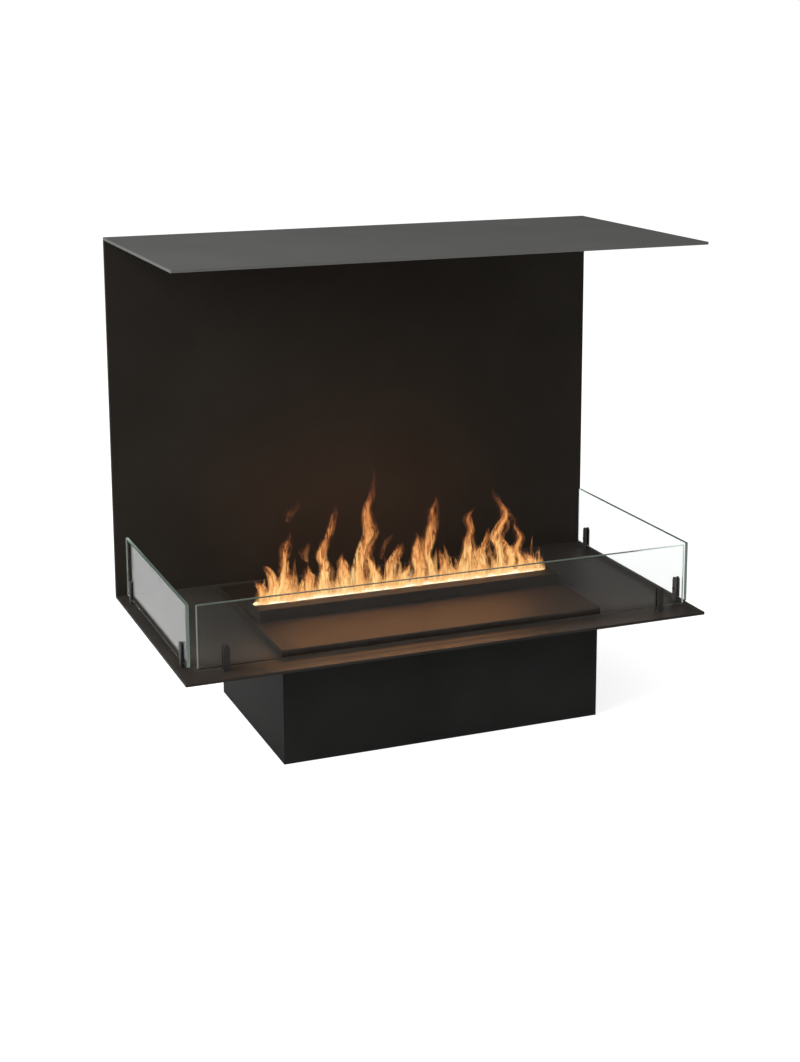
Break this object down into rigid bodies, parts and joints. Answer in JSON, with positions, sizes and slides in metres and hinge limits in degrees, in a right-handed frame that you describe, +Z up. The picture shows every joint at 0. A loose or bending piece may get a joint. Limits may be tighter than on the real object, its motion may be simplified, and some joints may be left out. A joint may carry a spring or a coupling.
{
  "type": "three-sided water vapour fireplace",
  "caption": "Built-in water vapour fireplace: black steel hearth, back panel and canopy open on three sides, low glass screens in clips, burner with mist tank below.",
  "frame": {"origin": "the middle of the footprint, at the floor of the burner housing", "axes": "+X to the right along the hearth seen from the front, +Y to the back towards the wall, +Z up"},
  "size_m": [1, 0.525, 0.895],
  "materials": {
    "back_panel": "matte black powder coat",
    "board_standoffs": "zinc plated",
    "burner_cover": "matte black powder coat",
    "burner_housing": "matte black powder coat",
    "cable_gland": "black moulded plastic",
    "canopy_plate": "matte black powder coat",
    "clamp_screws": "black oxide steel",
    "clip_pads": "black rubber",
    "clip_screws": "black oxide steel",
    "control_board": "green circuit board",
    "drain_plug": "translucent white plastic",
    "drain_washer": "black rubber",
    "fan_frame_left": "black moulded plastic",
    "fan_frame_right": "black moulded plastic",
    "fan_screws": "zinc plated",
    "filler_cap": "black moulded plastic",
    "filler_neck": "translucent white plastic",
    "flap_pin": "black oxide steel",
    "float_stem": "black oxide steel",
    "gland_nut": "black moulded plastic",
    "glass_clips": "satin black powder coat",
    "glass_front": "clear tempered float glass",
    "glass_left": "clear tempered float glass",
    "glass_right": "clear tempered float glass",
    "hearth_plate": "matte black powder coat",
    "hood_gasket": "black rubber",
    "housing_screws": "black oxide steel",
    "impeller_left": "black moulded plastic",
    "impeller_right": "black moulded plastic",
    "level_float": "orange foam plastic",
    "light_bar_front": "anodised channel with lamps",
    "light_bar_rear": "anodised channel with lamps",
    "mist_hood": "stainless sheet",
    "mist_makers": "stainless steel",
    "nozzle_bar": "matte black powder coat",
    "panel_ribs": "matte black powder coat",
    "panel_screws": "zinc plated",
    "power_rocker": "black moulded plastic",
    "power_supply": "bare sheet case",
    "service_flap": "matte black powder coat",
    "switch_body": "black moulded plastic",
    "switch_bracket": "matte black powder coat",
    "tank_feet": "black rubber",
    "terminal_block": "ivory plastic",
    "vapour_grille": "black moulded plastic",
    "wall_bosses": "zinc plated",
    "water_tank": "translucent white plastic"
  },
  "bodies": {
    "base": {"back_panel": "back_panel", "board_standoffs": "board_standoffs", "burner_housing": "burner_housing", "cable_gland": "cable_gland", "canopy_plate": "canopy_plate", "clamp_screws": "clamp_screws", "clip_pads": "clip_pads", "clip_screws": "clip_screws", "control_board": "control_board", "drain_plug": "drain_plug", "drain_washer": "drain_washer", "fan_frame_left": "fan_frame_left", "fan_frame_right": "fan_frame_right", "fan_screws": "fan_screws", "filler_neck": "filler_neck", "float_stem": "float_stem", "gland_nut": "gland_nut", "glass_clips": "glass_clips", "glass_front": "glass_front", "glass_left": "glass_left", "glass_right": "glass_right", "hearth_plate": "hearth_plate", "hood_gasket": "hood_gasket", "housing_screws": "housing_screws", "light_bar_front": "light_bar_front", "light_bar_rear": "light_bar_rear", "mist_hood": "mist_hood", "mist_makers": "mist_makers", "panel_ribs": "panel_ribs", "panel_screws": "panel_screws", "power_supply": "power_supply", "switch_body": "switch_body", "switch_bracket": "switch_bracket", "tank_feet": "tank_feet", "terminal_block": "terminal_block", "wall_bosses": "wall_bosses", "water_tank": "water_tank"},
    "cover": {"burner_cover": "burner_cover", "nozzle_bar": "nozzle_bar", "vapour_grille": "vapour_grille", "flap_pin": "flap_pin"},
    "flap": {"service_flap": "service_flap"},
    "cap": {"filler_cap": "filler_cap"},
    "rocker": {"power_rocker": "power_rocker"},
    "fan_left": {"impeller_left": "impeller_left"},
    "fan_right": {"impeller_right": "impeller_right"},
    "float": {"level_float": "level_float"}
  },
  "joints": [
    {"name": "cover_lift", "type": "slide", "parent": "base", "child": "cover", "axis": [0, 0, 1], "range_m": [0, 0.12]},
    {"name": "flap_hinge", "type": "hinge", "parent": "cover", "child": "flap", "pos_m": [0.19, 0.1692, 0.2176], "axis": [-1, 0, 0], "range_deg": [0, 110]},
    {"name": "cap_turn", "type": "hinge", "parent": "base", "child": "cap", "pos_m": [0.15, 0.1265, 0.18], "axis": [0, 0, 1], "range_deg": [0, 90]},
    {"name": "rocker_tilt", "type": "hinge", "parent": "base", "child": "rocker", "pos_m": [0.238, 0.1145, 0.187], "axis": [0, 1, 0], "range_deg": [0, 16]},
    {"name": "fan_left_spin", "type": "hinge", "parent": "base", "child": "fan_left", "pos_m": [-0.2095, -0.0025, 0.09], "axis": [-1, 0, 0], "continuous": true},
    {"name": "fan_right_spin", "type": "hinge", "parent": "base", "child": "fan_right", "pos_m": [0.2095, -0.0025, 0.09], "axis": [1, 0, 0], "continuous": true},
    {"name": "float_rise", "type": "slide", "parent": "base", "child": "float", "axis": [0, 0, 1], "range_m": [0, 0.045]}
  ]
}
